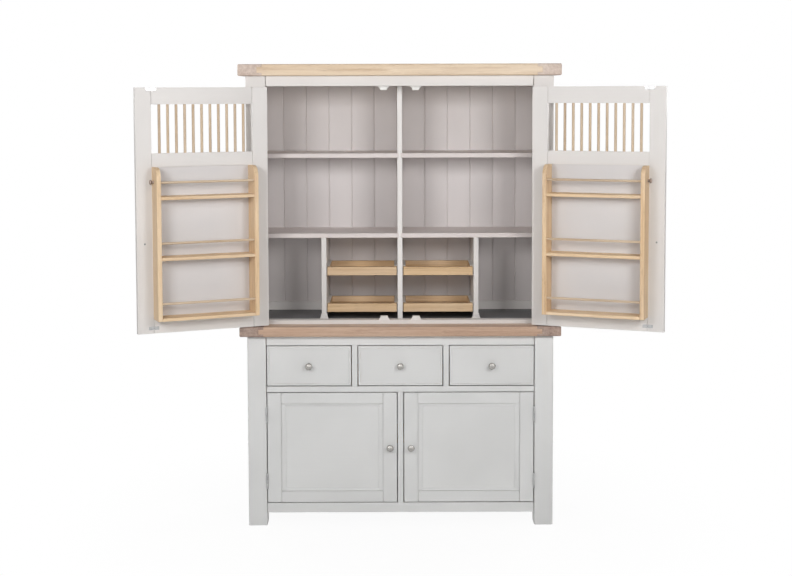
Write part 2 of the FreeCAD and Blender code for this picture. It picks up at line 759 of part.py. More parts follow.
def rack_peg(width):
    """The small turned peg on the rack's outer side, level with the top bar."""
    peg = knob(PEG_DIAMETER, PEG_PROJECTION)
    peg.rotate(ORIGIN, ALONG_Z, 90)
    z = HUTCH_DOOR_BOTTOM_RAIL + RACK_HEIGHT * RACK_SHELF_SHARES[-1] + RACK_BAR_RISE
    peg.translate(vector(width - HUTCH_STILE, DOOR_THICKNESS + PEG_DEPTH, z))
    return peg


def strike_plates(width):
    """Steel plates on the inside of the door, level with the catches."""
    centre = width + HUTCH_MEETING_GAP / 2 - CATCH_OFFSET
    levels = (
        FLOOR_RAIL_HEIGHT + CATCH_HEIGHT / 2 - DOOR_GAP,
        HUTCH_DOOR_HEIGHT - STRIKE_HEIGHT / 2,
    )
    plates = []
    for level in levels:
        low = (centre - STRIKE_WIDTH / 2, DOOR_THICKNESS, level - STRIKE_HEIGHT / 2)
        high = (centre + STRIKE_WIDTH / 2, DOOR_THICKNESS + STRIKE_THICKNESS, level + STRIKE_HEIGHT / 2)
        plates.append(block(low, high))
    return plates


def add_hutch_doors():
    width, height = HUTCH_DOOR_WIDTH, HUTCH_DOOR_HEIGHT
    stile, rail = HUTCH_STILE, HUTCH_DOOR_BOTTOM_RAIL
    panel = door_panel(width, stile, rail, RACK_TOP)
    rows = ((0, rail), (RACK_TOP, GRILLE_BOTTOM), (GRILLE_TOP, height))
    rails = [door_rail(width, stile, bottom, top) for bottom, top in rows]
    stiles = [housed(piece, rails + [panel]) for piece in door_stiles(width, height, stile)]
    rods, rod_holes = spindles(width)
    rails = [housed(piece, [panel]) for piece in rails]
    rails[1:] = [housed(piece, rod_holes) for piece in rails[1:]]
    bars, bar_holes = rack_bars(width)
    handle = door_knob()
    handle.translate(vector(width - stile / 2, 0, HUTCH_KNOB_RISE))
    groups = {
        "hutch_door_frame": stiles + rails,
        "hutch_door_panel": [panel] + moulding(width, stile, rail, RACK_TOP),
        "hutch_door_spindles": rods,
        "hutch_door_knob": [handle],
        "hutch_door_strikes": strike_plates(width),
        "spice_rack": spice_rack(width, bar_holes) + bars,
        "spice_rack_peg": [rack_peg(width)],
    }
    corner = (-POST_INNER + DOOR_GAP, HUTCH_FRONT, WORKTOP_HEIGHT + DOOR_GAP)
    heights = hinge_heights(corner[2], height, HUTCH_HINGE_COUNT)
    door_leaves, frame_leaves, pins = place_hinges(HUTCH_PIN, HINGE_STANDOFF, heights)
    for side, name, open_deg in zip(SIDES, SIDE_NAMES, (LEFT_DOOR_OPEN_DEG, RIGHT_DOOR_OPEN_DEG)):
        for group, shapes in groups.items():
            add(f"{name}_{group}", set_door(shapes, side, corner, HUTCH_PIN, open_deg))
        leaves = set_door(door_leaves, side, ORIGIN, HUTCH_PIN, open_deg)
        add(f"{name}_hutch_door_hinge_leaves", leaves)
        add("frame_hinge_leaves", set_door(frame_leaves, side, ORIGIN))
        add("hinge_pins", set_door(pins, side, ORIGIN))


# Hutch


def hutch_rails():
    """Frieze, stretcher behind it, door-stop rail on the worktop, and the rails that hold the boards."""
    frieze = tenoned((-POST_INNER, HUTCH_FRONT, FRIEZE_Z),
                     (POST_INNER, HUTCH_FRONT + RAIL_THICKNESS, HUTCH_TOP_Z), "X", LEG_TENON)
    frieze = quirked(frieze, HUTCH_FRONT, POST_INNER)
    stretcher_front = HUTCH_FRONT + RAIL_THICKNESS
    stretcher = block((-POST_INNER, stretcher_front, FRIEZE_Z),
                      (POST_INNER, stretcher_front + STRETCHER_DEPTH, FRIEZE_Z + STRETCHER_THICKNESS))
    floor_rail_front = DOOR_BACK + DOOR_STOP_GAP
    floor_rail = block((-POST_INNER, floor_rail_front, WORKTOP_HEIGHT),
                       (POST_INNER, floor_rail_front + FLOOR_RAIL_DEPTH, FLOOR_RAIL_Z))
    back_rails = []
    for side in SIDES:
        front = BACK_BOARD_FRONT - BACK_RAIL_THICKNESS
        for bottom in (HUTCH_FLOOR_Z, HUTCH_TOP_Z - BACK_RAIL_HEIGHT):
            low = (DIVIDER / 2, front, bottom)
            high = (HUTCH_INNER, BACK_BOARD_FRONT, bottom + BACK_RAIL_HEIGHT)
            back_rails.append(block_at(side, low, high))
    return frieze, stretcher, floor_rail, back_rails


def hutch_post(side):
    low = (POST_INNER, HUTCH_FRONT, WORKTOP_HEIGHT)
    return block_at(side, low, (HALF_WIDTH, POST_BACK, HUTCH_TOP_Z))


def hutch_side(side):
    low = (HUTCH_INNER, POST_BACK, WORKTOP_HEIGHT)
    return block_at(side, low, (HALF_WIDTH, BACK, HUTCH_TOP_Z))


def hutch_shelves():
    """A lower and an upper shelf on each side of the divider, housed at both ends."""
    shelves = []
    for side in SIDES:
        for top in (LOWER_SHELF_Z, UPPER_SHELF_Z):
            low = (DIVIDER / 2 - HOUSING_DEPTH, SHELF_FRONT, top - HUTCH_SHELF)
            high = (HUTCH_INNER + HOUSING_DEPTH, BACK_BOARD_FRONT, top)
            shelves.append(block_at(side, low, high))
    return shelves


def centre_divider():
    return block((-DIVIDER / 2, SHELF_FRONT, HUTCH_FLOOR_Z), (DIVIDER / 2, BACK, HUTCH_TOP_Z))


def tray_divider(side):
    low = (TRAY_DIVIDER_INNER, SHELF_FRONT, HUTCH_FLOOR_Z)
    high = (TRAY_DIVIDER_INNER + DIVIDER, BACK_BOARD_FRONT, LOWER_SHELF_Z - HUTCH_SHELF)
    return block_at(side, low, high)


def foot_bracket(side):
    """A flared block that wraps the front foot of a tray divider."""
    centre = side * (TRAY_DIVIDER_INNER + DIVIDER / 2)
    foot = BRACKET_WIDTH / 2
    neck = foot * BRACKET_TOP_SHARE
    front = SHELF_FRONT - BRACKET_DEPTH / 2
    top = HUTCH_FLOOR_Z + BRACKET_HEIGHT
    flare = neck + (foot - neck) * BRACKET_FLARE_SHARE
    middle = HUTCH_FLOOR_Z + BRACKET_HEIGHT / 2
    corners = {
        sign: [
            vector(centre + sign * foot, front, HUTCH_FLOOR_Z),
            vector(centre + sign * flare, front, middle),
            vector(centre + sign * neck, front, top),
        ]
        for sign in SIDES
    }
    edges = [
        Part.makeLine(corners[-1][0], corners[1][0]),
        Part.Arc(*corners[1]).toShape(),
        Part.makeLine(corners[1][2], corners[-1][2]),
        Part.Arc(*corners[-1][::-1]).toShape(),
    ]
    return Part.Face(Part.Wire(edges)).extrude(vector(0, BRACKET_DEPTH, 0))


def back_board(index):
    """One tongued and grooved board of the right-hand half, with V edges on its face."""
    pitch = (HUTCH_INNER - DIVIDER / 2) / HALF_BACK_BOARD_COUNT
    left = DIVIDER / 2 + index * pitch
    right = left + pitch
    front = BACK_BOARD_FRONT
    tongue_front = front + (BACK_BOARD - BACK_TONGUE_THICKNESS) / 2
    tongue_back = tongue_front + BACK_TONGUE_THICKNESS
    z = WORKTOP_HEIGHT
    points = [
        vector(left + BACK_V, front, z),
        vector(right - BACK_V, front, z),
        vector(right, front + BACK_V, z),
        vector(right, BACK, z),
        vector(left, BACK, z),
        vector(left, front + BACK_V, z),
    ]
    height = vector(0, 0, HUTCH_TOP_Z - WORKTOP_HEIGHT)
    board = prism(points, height)
    tongue_size = (BACK_TONGUE, BACK_TONGUE_THICKNESS, HUTCH_TOP_Z - WORKTOP_HEIGHT)
    if index < HALF_BACK_BOARD_COUNT - 1:
        tongue = Part.makeBox(*tongue_size, vector(right, tongue_front, z))
        board = board.fuse(tongue).removeSplitter()
    if index > 0:
        groove = block((left, tongue_front, z), (left + BACK_TONGUE, tongue_back, HUTCH_TOP_Z))
        board = board.cut(groove)
    return board


def catch(side, seat_z, direction):
    """A magnetic catch: a screwed flange that slopes up to the magnet's case. Direction is +1 upwards."""
    front = DOOR_BACK + STRIKE_THICKNESS + RUNNING_GAP
    flange = CATCH_WIDTH / 2
    case = flange * CATCH_CASE_SHARE
    half_outline = ((flange, 0), (flange, CATCH_FLANGE), (case, CATCH_SHOULDER), (case, CATCH_HEIGHT))
    outline = half_outline + tuple((-x, z) for x, z in reversed(half_outline))
    centre = side * CATCH_OFFSET
    points = [vector(centre + x, front, seat_z + direction * z) for x, z in outline]
    return prism(points, vector(0, CATCH_DEPTH, 0))


# Pull-out trays


def tray_levels():
    bay = LOWER_SHELF_Z - HUTCH_SHELF - HUTCH_FLOOR_Z
    return [HUTCH_FLOOR_Z + bay * share for share in TRAY_RISE_SHARES]


def tray_runner(wall_x, direction, tray_z):
    """A channel screwed to a divider, set back from the front. Direction points towards the tray."""
    low_z = tray_z - RUNNING_GAP - RUNNER_WEB
    high_z = tray_z + TRAY_HEIGHT + RUNNING_GAP + RUNNER_WEB
    web = wall_x + direction * RUNNER_WEB
    lip = wall_x + direction * RUNNER_LIP
    outline = (
        (wall_x, low_z),
        (lip, low_z),
        (lip, low_z + RUNNER_WEB),
        (web, low_z + RUNNER_WEB),
        (web, high_z - RUNNER_WEB),
        (lip, high_z - RUNNER_WEB),
        (lip, high_z),
        (wall_x, high_z),
    )
    points = [vector(x, SHELF_FRONT + RUNNER_SETBACK, z) for x, z in outline]
    return prism(points, vector(0, TRAY_DEPTH - RUNNER_SETBACK, 0))


def tray(side, tray_z):
    """A shallow drawer: front, back, two sides and a bottom let into grooves."""
    low_x = DIVIDER / 2 + TRAY_SIDE_GAP
    high_x = TRAY_DIVIDER_INNER - TRAY_SIDE_GAP
    front, back = SHELF_FRONT, SHELF_FRONT + TRAY_DEPTH
    top = tray_z + TRAY_HEIGHT
    reach = TRAY_WALL - TRAY_GROOVE
    bottom_z = tray_z + TRAY_GROOVE
    bottom = block_at(side, (low_x + reach, front + reach, bottom_z),
                      (high_x - reach, back - reach, bottom_z + TRAY_BOTTOM))
    walls = [
        block_at(side, (low_x, front, tray_z), (high_x, front + TRAY_WALL, top)),
        block_at(side, (low_x, back - TRAY_WALL, tray_z), (high_x, back, top)),
        block_at(side, (low_x, front + TRAY_WALL, tray_z), (low_x + TRAY_WALL, back - TRAY_WALL, top)),
        block_at(side, (high_x - TRAY_WALL, front + TRAY_WALL, tray_z), (high_x, back - TRAY_WALL, top)),
    ]
    return [housed(wall, [bottom]) for wall in walls] + [bottom]


def add_trays():
    for side, side_name in zip(SIDES, SIDE_NAMES):
        for level, tray_z in zip(("lower", "upper"), tray_levels()):
            add(f"{side_name}_{level}_tray", tray(side, tray_z))
            add("tray_runners", [tray_runner(side * DIVIDER / 2, side, tray_z)])
            add("tray_runners", [tray_runner(side * TRAY_DIVIDER_INNER, -side, tray_z)])


# Assembly


def add_boards():
    panel, caps = breadboard(FRONT, WORKTOP_HEIGHT, WORKTOP_THICKNESS)
    add("worktop_panel", [panel])
    add("breadboard_ends", caps)
    panel, caps = breadboard(HUTCH_FRONT, TOP_Z, TOP_THICKNESS)
    add("top_panel", [panel])
    add("breadboard_ends", caps)


def add_base():
    rails, stiles, panels = base_rails(), base_stiles(), base_panels()
    legs = [base_leg(side, front) for side in SIDES for front in (FRONT, BACK - LEG_WIDTH)]
    add("base_floor", [base_floor(legs)])
    add("base_legs", [housed(leg, rails + panels) for leg in legs])
    add("base_rails_and_stiles", [housed(rail, stiles + panels) for rail in rails] + stiles)
    add("base_panels", panels)
    add("cupboard_shelf", cupboard_shelf())
    add("drawer_runners", drawer_runners())


def add_hutch():
    frieze, stretcher, floor_rail, back_rails = hutch_rails()
    shelves = hutch_shelves()
    add("hutch_posts", [housed(hutch_post(side), [frieze]) for side in SIDES])
    add("hutch_rails", [frieze, stretcher, floor_rail] + back_rails)
    add("hutch_sides", [housed(hutch_side(side), shelves) for side in SIDES])
    floor_low = (-HUTCH_INNER, POST_BACK, WORKTOP_HEIGHT)
    floor = block(floor_low, (HUTCH_INNER, BACK_BOARD_FRONT, HUTCH_FLOOR_Z))
    add("hutch_floor", [housed(floor, [floor_rail])])
    dividers = [tray_divider(side) for side in SIDES]
    add("centre_divider", [housed(centre_divider(), shelves)])
    add("hutch_shelves", shelves)
    add("tray_dividers", [housed(divider, back_rails) for divider in dividers])
    add("divider_brackets", [housed(foot_bracket(side), dividers) for side in SIDES])
    boards = [back_board(index) for index in range(HALF_BACK_BOARD_COUNT)]
    add("back_boards", boards + [mirrored(board) for board in boards])
    for side in SIDES:
        add("magnetic_catches", [catch(side, FLOOR_RAIL_Z, 1), catch(side, FRIEZE_Z, -1)])


def main():
    add_boards()
    add_base()
    add_drawers()
    add_cupboard_doors()
    add_hutch()
    add_trays()
    add_hutch_doors()
    os.makedirs("parts", exist_ok=True)
    for name, shapes in NODES.items():
        shape = shapes[0] if len(shapes) == 1 else Part.makeCompound(shapes)
        shape.exportStep(f"parts/{name}.step")


main()
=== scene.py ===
import json
import math
import random

import bmesh
import bpy
from mathutils import Matrix, Vector


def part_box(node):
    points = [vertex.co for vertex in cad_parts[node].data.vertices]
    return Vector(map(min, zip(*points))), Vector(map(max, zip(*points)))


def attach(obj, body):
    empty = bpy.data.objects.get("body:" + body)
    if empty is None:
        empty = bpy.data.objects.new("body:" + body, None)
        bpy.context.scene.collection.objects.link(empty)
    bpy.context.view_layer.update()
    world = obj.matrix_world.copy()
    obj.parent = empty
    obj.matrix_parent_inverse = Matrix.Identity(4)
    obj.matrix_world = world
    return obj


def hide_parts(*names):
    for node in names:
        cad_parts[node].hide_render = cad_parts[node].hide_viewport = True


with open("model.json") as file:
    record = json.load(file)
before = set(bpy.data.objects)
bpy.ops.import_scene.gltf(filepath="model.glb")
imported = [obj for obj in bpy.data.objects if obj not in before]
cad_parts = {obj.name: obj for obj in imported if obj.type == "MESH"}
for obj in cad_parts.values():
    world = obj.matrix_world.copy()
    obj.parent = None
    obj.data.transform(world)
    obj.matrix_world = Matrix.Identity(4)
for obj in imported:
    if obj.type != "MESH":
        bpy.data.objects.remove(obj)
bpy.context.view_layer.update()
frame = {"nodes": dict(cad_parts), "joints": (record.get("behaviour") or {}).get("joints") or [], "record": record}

# Camera, in pixels, metres and degrees
IMAGE_WIDTH = 792
SENSOR_WIDTH_MM = 36
FOCAL_PX = 1442.6
PRINCIPAL_DROP_PX = -96.7
CAMERA_PLACE = (-0.0201, -5.9007, 1.7433)
CAMERA_PITCH_DEG = -4.0
CAMERA_YAW_DEG = -0.046
CAMERA_ROLL_DEG = -0.160
LEVEL_DEG = 90

# Light: a pale room, and soft lamps by place and watts that look at one point, one of them near the camera
ROOM_STRENGTH = 0.09
LAMP_SIZE = (0.9, 0.7)
LAMP_AIM = (0, 0, 1.7)
LAMPS = {
    "left_front_lamp": ((-1.45, -2.8, 2.05), 32.5),
    "right_front_lamp": ((1.45, -2.8, 2.05), 32.5),
    "left_side_lamp": ((-3.6, -2.2, 1.6), 10),
    "right_side_lamp": ((3.6, -2.2, 1.6), 10),
    "left_back_lamp": ((-2.3, 2.8, 1.9), 50),
    "right_back_lamp": ((2.3, 2.8, 1.9), 50),
    "top_lamp": ((0, -0.9, 6.0), 18),
    "fill_lamp": ((0, -5.0, 1.5), 20),
}
WHITE = (1, 1, 1, 1)

# Colours of the paints, as 8-bit sRGB; some of them hold painted light or painted shade
PAINTS = {
    "grey_paint": (220, 216, 213),
    # The back boards' paint is warmer and darker than the grey paint: partly painted shade, the warm tint of the
    # shaded bays
    "back_paint_and_shade": (217, 211, 210),
    "shelf_paint": (218, 209, 206),
    # The centre divider is painted paler than the grey paint: painted light, so that it looks lit right up to the
    # frieze
    "divider_lit_paint": (229, 225, 222),
    # The hutch door panels are painted darker than the frames: painted shade, the shade of the racks on the panels
    "hutch_panel_shaded_paint": (211, 208, 208),
    "base_paint": (217, 217, 216),
}
PAINT_WORN = (200, 193, 184)

# Oaks: light and dark tone as 8-bit sRGB, share of the pale wash, and roughness
OAKS = {
    "oak_rack": ((234, 206, 168), (205, 170, 130), 0.25, 0.57),
    "oak_spindle": ((216, 196, 170), (178, 152, 124), 0.25, 0.57),
    "oak_worktop": ((208, 178, 154), (174, 142, 120), 0.12, 0.32),
    "oak_top": ((232, 212, 186), (205, 178, 148), 0.25, 0.57),
    "oak_end": ((214, 196, 184), (182, 158, 144), 0.25, 0.57),
    "oak_end_dark": ((172, 149, 135), (124, 99, 92), 0.25, 0.57),
    "oak_tray": ((220, 190, 150), (190, 154, 112), 0.25, 0.57),
    "drawer_wood": ((226, 202, 168), (204, 174, 136), 0.25, 0.57),
}
OAK_PORE = (120, 92, 68)
OAK_WASH = (240, 230, 216)

# Metals: bright and dull colour as 8-bit sRGB, roughness, and the scratches' cycles per metre
METALS = {
    "pewter": ((178, 176, 172), (138, 135, 131), 0.28, (400, 400, 400)),
    "steel": ((190, 190, 190), (150, 150, 151), 0.34, (30, 900, 900)),
    "dark_metal": ((174, 158, 148), (128, 113, 104), 0.42, (300, 300, 300)),
    # The screw recess colour is painted shade: a dark metal in the cross recess, where shade falls
    "screw_recess": ((74, 72, 70), (52, 50, 48), 0.5, (400, 400, 400)),
}

# Other colours, as 8-bit sRGB
SLATE = (104, 104, 106)
SLATE_SPECK = (132, 132, 134)
PLASTIC = (232, 230, 227)
PLASTIC_DULL = (220, 218, 214)

# Noises: cycles per metre along, across and through a piece, then detail and roughness
PAINT_CLOUD_NOISE = ((3.1, 3.1, 3.1), 2.0, 0.5)
PAINT_BRUSH_NOISE = ((5, 420, 420), 2.0, 0.5)
PAINT_PEEL_NOISE = ((260, 260, 260), 1.0, 0.5)
PAINT_RUB_NOISE = ((22, 22, 22), 4.0, 0.6)
OAK_SWAY_NOISE = ((1.4, 5, 5), 2.0, 0.5)
OAK_BAND_NOISE = ((0.8, 62, 62), 4.0, 0.6)
OAK_STREAK_NOISE = ((3, 240, 240), 3.0, 0.6)
OAK_PORE_NOISE = ((26, 780, 780), 2.0, 0.5)
OAK_CLOUD_NOISE = ((2.2, 7, 7), 2.0, 0.5)
SLATE_SPECK_NOISE = ((900, 900, 900), 2.0, 0.5)
SLATE_CLOUD_NOISE = ((5, 5, 5), 3.0, 0.5)
METAL_BLOOM_NOISE = ((70, 70, 70), 3.0, 0.6)
PLASTIC_SPARK_NOISE = ((1500, 1500, 1500), 1.0, 0.5)
PLASTIC_CLOUD_NOISE = ((30, 30, 30), 2.0, 0.5)
FLOOR_MOTTLE_NOISE = ((3, 3, 3), 2.0, 0.5)
SCRATCH_DETAIL = 2.0
SCRATCH_ROUGHNESS = 0.5

# Spans: a noise's low and high value, and what they turn into where that isn't 0 and 1
ROUGHNESS_SPAN = (0.3, 0.7)
PAINT_CLOUD_SPAN = (0.35, 0.65)
PAINT_BRUSH_SPAN = (0.3, 0.7, 0.0, 0.22)
PAINT_RUB_SPAN = (0.5, 0.66, 0.0, 0.5)
OAK_SWAY_SPAN = (0.2, 0.8, -0.022, 0.022)
OAK_FIGURE_SPAN = (0.36, 0.66)
OAK_PORE_SPAN = (0.56, 0.7)
OAK_PORE_BAND_SPAN = (0.4, 0.6, 0.3, 1.0)
OAK_WASH_SPAN = (0.4, 0.75)
OAK_EDGE_SPAN = (0.4, 0.6, 0.1, 0.45)
SLATE_CLOUD_SPAN = (0.3, 0.7, 0.0, 0.35)
SLATE_SPECK_SPAN = (0.58, 0.72, 0.0, 0.5)
METAL_BLOOM_SPAN = (0.35, 0.7)
METAL_SCRATCH_SPAN = (0.35, 0.65, 0.0, 0.25)
PLASTIC_CLOUD_SPAN = (0.35, 0.7)

# Shader values: index of refraction, low and high roughness, and each bump's strength and depth in metres
PAINT_IOR = 1.46
OAK_IOR = 1.48
PLASTIC_IOR = 1.5
PAINT_ROUGHNESS = (0.42, 0.54)
OAK_ROUGHNESS_STEPS = (-0.07, 0.07)
SLATE_ROUGHNESS = (0.5, 0.66)
METAL_ROUGHNESS_STEPS = (-0.06, 0.1)
PLASTIC_ROUGHNESS = (0.36, 0.5)
FLOOR_ROUGHNESS = 0.9
PAINT_BUMP = (0.22, 0.0003)
OAK_BUMP = (0.3, 0.0004)
SLATE_BUMP = (0.2, 0.0002)
METAL_BUMP = (0.12, 0.0001)
PLASTIC_BUMP = (0.15, 0.0001)

# How strongly the parts of a finish show: steps of 8-bit sRGB, and shares
PAINT_PALE_STEP = 3
PAINT_DEEP_STEP = -4
PAINT_PEEL_SHARE = 0.4
OAK_BAND_SHARE = 0.65
OAK_STREAK_SHARE = 0.35
OAK_TONE_SHARE = 0.05
OAK_PORE_SHARE = 0.4
PLASTIC_EDGE_SHARE = 0.4

# Floor, in metres
FLOOR_HALF_SIZE = 40
FLOOR_FADE = (0.4, 1.4)
FLOOR_COLOUR = (0.88, 0.88, 0.88)
FLOOR_MOTTLE_GAIN = 1.03
FLOOR_SHADOW_SHARE = 0.06

# Finishes that differ from their slot's: by slot, by a word in the node's name, on rods and on low oak ends
SLOT_FINISHES = {"oak": "oak_rack"}
WORD_FINISHES = {
    "worktop": "oak_worktop",
    "top_panel": "oak_top",
    "breadboard": "oak_end",
    "_tray": "oak_tray",
    "back_boards": "back_paint_and_shade",
    "hutch_shelves": "shelf_paint",
    "centre_divider": "divider_lit_paint",
    "hutch_door_panel": "hutch_panel_shaded_paint",
    "base_": "base_paint",
    "cupboard_door_frame": "base_paint",
    "cupboard_door_panel": "base_paint",
    "drawer_front": "base_paint",
}
OAK_ROD_FINISH = "oak_spindle"
LOW_END_FINISH = "oak_end_dark"

# Edge easing in metres: by a word in the node's name, then by slot, then for all others
WORD_EASES = {"door_frame": 0.0011, "door_panel": 0.0003}
SLOT_EASES = {"grey_paint": 0.0009, "oak": 0.0012, "drawer_wood": 0.0009}
OTHER_EASE = 0.0004
EASE_SEGMENTS = 2
EASE_PROFILE = 0.5

# Joints that show as a hairline, in metres
JOINT_GAP = 0.0013
MOULDING_FACES = 7

# Rods: how many sides they have in the solids, and how these are rounded
ROD_SIDES = 8
ROD_SIDE_TOLERANCE = 1.05
ROD_RIM_DEG = 60
ROD_EASE_SHARE = 0.3

# Nodes that are turned, so they are smoothed all round
TURNED_WORDS = ("knob", "peg")
TURNED_LEVELS = 2

# What counts as flat, smooth, sharp, square and crossing
WELD_DIGITS = 6
FLAT_DEG = 0.5
SMOOTH_DEG = 20
SHARP_DEG = 25
SQUARE_COS = 0.99
CROSSING_COS = 0.3
GRAIN_OFFSET = 9

# Screw heads: radius and rise in metres, then shares of these
KNOB_SCREW = (0.0042, 0.0022)
FLUSH_SCREW = (0.0033, 0.00012)
SCREW_SEAT = 0.0002
SCREW_SIDE_SHARE = 0.4
SCREW_CROWN_SHARE = 0.82
SCREW_RECESS_SHARES = (0.6, 0.14)
SCREW_FLOOR_SHARE = 0.3
SCREW_TURNS_DEG = (0, 90, 180, 270)
HINGE_SCREW_SHARES = ((0.14, 0.36), (0.5, 0.62), (0.86, 0.36))

# Curve of 8-bit sRGB, and the Mix node's sockets for colours
SRGB_MAX = 255
SRGB_KNEE = 0.04045
SRGB_SLOPE = 12.92
SRGB_OFFSET = 0.055
SRGB_POWER = 2.4
MIX_SHARE, MIX_FIRST, MIX_SECOND = 0, 6, 7
MIX_RESULT = 2

UP = Vector((0, 0, 1))
BACKWARD = Vector((0, 1, 0))

record = frame["record"]
slot_of = {row["node"]: row["material_slot"] for row in record["subparts"]}
body_of = {node: body for body, nodes in record["behaviour"]["bodies"].items() for node in nodes}


# Colour and node helpers

def linear(colour):
    """An 8-bit sRGB colour as the linear colour that shaders take."""
    shares = [c / SRGB_MAX for c in colour]
    low = [s / SRGB_SLOPE for s in shares]
    high = [((s + SRGB_OFFSET) / (1 + SRGB_OFFSET)) ** SRGB_POWER for s in shares]
    return tuple(l if s <= SRGB_KNEE else h for s, l, h in zip(shares, low, high)) + (1,)


class Look:
    """A material in the making: one Principled shader and the nodes that feed it."""

    def __init__(self, name, **constants):
        self.material = bpy.data.materials.new(name)
        self.material.use_nodes = True
        self.tree = self.material.node_tree
        self.shader = self.tree.nodes["Principled BSDF"]
        for socket, value in constants.items():
            self.shader.inputs[socket].default_value = value

    def node(self, kind, inputs, **settings):
        node = self.tree.nodes.new(kind)
        for key, value in settings.items():
            setattr(node, key, value)
        for key, value in inputs.items():
            self.feed(node.inputs[key], value)
        return node

    def feed(self, socket, value):
        if isinstance(value, bpy.types.NodeSocket):
            self.tree.links.new(value, socket)
        else:
            socket.default_value = value

    def attribute(self, name):
        return self.node("ShaderNodeAttribute", {}, attribute_name=name)

    def grain(self):
        """Where a point lies along, across and through its own solid."""
        return self.attribute("grain").outputs["Vector"]

    def wear(self):
        """1 on an eased edge and 0 elsewhere."""
        return self.attribute("wear").outputs["Fac"]

    def math(self, operation, *values):
        return self.node("ShaderNodeMath", dict(enumerate(values)), operation=operation).outputs[0]

    def vector_math(self, operation, *values):
        return self.node("ShaderNodeVectorMath", dict(enumerate(values)), operation=operation)

    def spread(self, value, low, high, to_low=0.0, to_high=1.0):
        """The value mapped from one span to another, held at its ends."""
        spans = {"Value": value, "From Min": low, "From Max": high, "To Min": to_low, "To Max": to_high}
        return self.node("ShaderNodeMapRange", spans).outputs["Result"]

    def mix(self, share, first, second):
        inputs = {MIX_SHARE: share, MIX_FIRST: first, MIX_SECOND: second}
        return self.node("ShaderNodeMix", inputs, data_type="RGBA").outputs[MIX_RESULT]

    def noise(self, vector, scales, detail, roughness):
        scaled = self.vector_math("MULTIPLY", vector, scales).outputs[0]
        inputs = {"Vector": scaled, "Scale": 1.0, "Detail": detail, "Roughness": roughness}
        return self.node("ShaderNodeTexNoise", inputs).outputs["Fac"]

    def bump(self, height, strength, depth):
        inputs = {"Height": height, "Strength": strength, "Distance": depth}
        self.feed(self.shader.inputs["Normal"], self.node("ShaderNodeBump", inputs).outputs[0])

    def colour(self, socket):
        self.feed(self.shader.inputs["Base Color"], socket)

    def roughness(self, value, low, high):
        self.feed(self.shader.inputs["Roughness"], self.spread(value, *ROUGHNESS_SPAN, low, high))


# Materials

def paint_look(name, colour):
    """Brushed satin paint: faint brush marks along each piece and thin rubbed edges."""
    look = Look(name, IOR=PAINT_IOR)
    grain = look.grain()
    cloud = look.noise(grain, *PAINT_CLOUD_NOISE)
    brush = look.noise(grain, *PAINT_BRUSH_NOISE)
    peel = look.noise(grain, *PAINT_PEEL_NOISE)
    rub = look.noise(grain, *PAINT_RUB_NOISE)
    pale = linear([min(SRGB_MAX, c + PAINT_PALE_STEP) for c in colour])
    deep = linear([c + PAINT_DEEP_STEP for c in colour])
    base = look.mix(look.spread(cloud, *PAINT_CLOUD_SPAN), deep, pale)
    marked = look.mix(look.spread(brush, *PAINT_BRUSH_SPAN), base, deep)
    edge = look.math("MULTIPLY", look.wear(), look.spread(rub, *PAINT_RUB_SPAN))
    look.colour(look.mix(edge, marked, linear(PAINT_WORN)))
    look.roughness(cloud, *PAINT_ROUGHNESS)
    look.bump(look.math("ADD", look.math("MULTIPLY", peel, PAINT_PEEL_SHARE), brush), *PAINT_BUMP)
    return look.material


def oak_look(name, light, dark, wash_share, roughness):
    """Limed oak: growth bands along each board, open pores, and a thin pale wash."""
    look = Look(name, IOR=OAK_IOR)
    grain = look.grain()
    sway = look.noise(grain, *OAK_SWAY_NOISE)
    shift = look.node("ShaderNodeCombineXYZ", {"Y": look.spread(sway, *OAK_SWAY_SPAN)}).outputs[0]
    swayed = look.vector_math("ADD", grain, shift).outputs[0]
    bands = look.noise(swayed, *OAK_BAND_NOISE)
    streak = look.noise(swayed, *OAK_STREAK_NOISE)
    pores = look.noise(swayed, *OAK_PORE_NOISE)
    cloud = look.noise(grain, *OAK_CLOUD_NOISE)
    banded = look.math("MULTIPLY", bands, OAK_BAND_SHARE)
    figure = look.math("ADD", banded, look.math("MULTIPLY", streak, OAK_STREAK_SHARE))
    tone = look.math("MULTIPLY", look.attribute("tone").outputs["Fac"], OAK_TONE_SHARE)
    darkness = look.spread(look.math("ADD", figure, tone), *OAK_FIGURE_SPAN)
    body = look.mix(darkness, linear(light), linear(dark))
    pored_bands = look.spread(bands, *OAK_PORE_BAND_SPAN)
    open_pores = look.math("MULTIPLY", look.spread(pores, *OAK_PORE_SPAN), pored_bands)
    pored = look.mix(look.math("MULTIPLY", open_pores, OAK_PORE_SHARE), body, linear(OAK_PORE))
    washed = look.mix(look.spread(cloud, *OAK_WASH_SPAN, 0.0, wash_share), pored, linear(OAK_WASH))
    edge = look.math("MULTIPLY", look.wear(), look.spread(cloud, *OAK_EDGE_SPAN))
    look.colour(look.mix(edge, washed, linear(dark)))
    look.roughness(figure, *(roughness + step for step in OAK_ROUGHNESS_STEPS))
    look.bump(look.math("SUBTRACT", figure, open_pores), *OAK_BUMP)
    return look.material


def slate_look(name):
    """Matt dark laminate with a fine paler speck."""
    look = Look(name)
    grain = look.grain()
    speck = look.noise(grain, *SLATE_SPECK_NOISE)
    cloud = look.noise(grain, *SLATE_CLOUD_NOISE)
    base = look.mix(look.spread(cloud, *SLATE_CLOUD_SPAN), linear(SLATE), linear(SLATE_SPECK))
    look.colour(look.mix(look.spread(speck, *SLATE_SPECK_SPAN), base, linear(SLATE_SPECK)))
    look.roughness(cloud, *SLATE_ROUGHNESS)
    look.bump(speck, *SLATE_BUMP)
    return look.material


